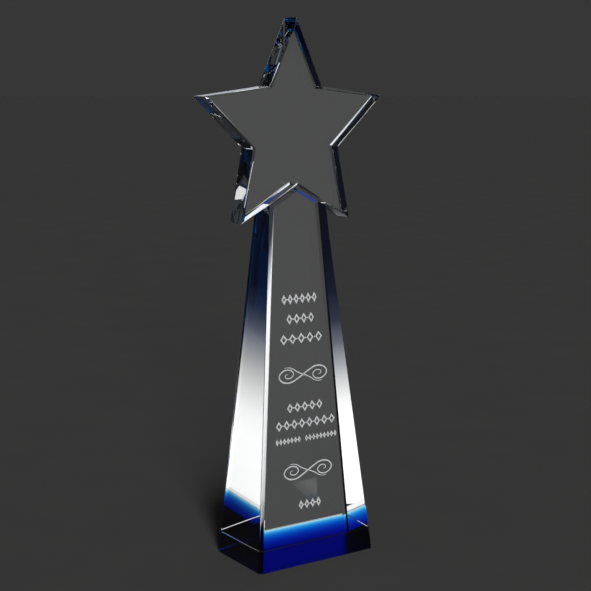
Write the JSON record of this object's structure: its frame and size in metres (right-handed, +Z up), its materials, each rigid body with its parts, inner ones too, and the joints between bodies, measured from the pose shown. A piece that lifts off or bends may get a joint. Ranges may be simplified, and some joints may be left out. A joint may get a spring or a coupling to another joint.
{
  "type": "star trophy",
  "caption": "Flat star bonded to the roof of a tapered crystal tower with a blue crystal foot, a free-standing award with a plain rectangular standing face.",
  "frame": {"origin": "centre of the face that the award stands on", "axes": "+Z up the tower to the star's top tip, -Y out of the engraved front, +X to the right seen from the front"},
  "size_m": [0.118, 0.0466, 0.3049],
  "materials": {
    "clear_crystal": "clear optical crystal, polished on every face and chamfer",
    "blue_crystal": "cobalt blue crystal, polished",
    "cured_adhesive": "clear cured adhesive film, smooth",
    "frosted_crystal": "sand-blasted crystal, matt white"
  },
  "bodies": {
    "root": {"star": "clear_crystal", "star_adhesive": "cured_adhesive", "tower": "clear_crystal", "base_adhesive": "cured_adhesive", "blue_base": "blue_crystal"}
  },
  "joints": []
}
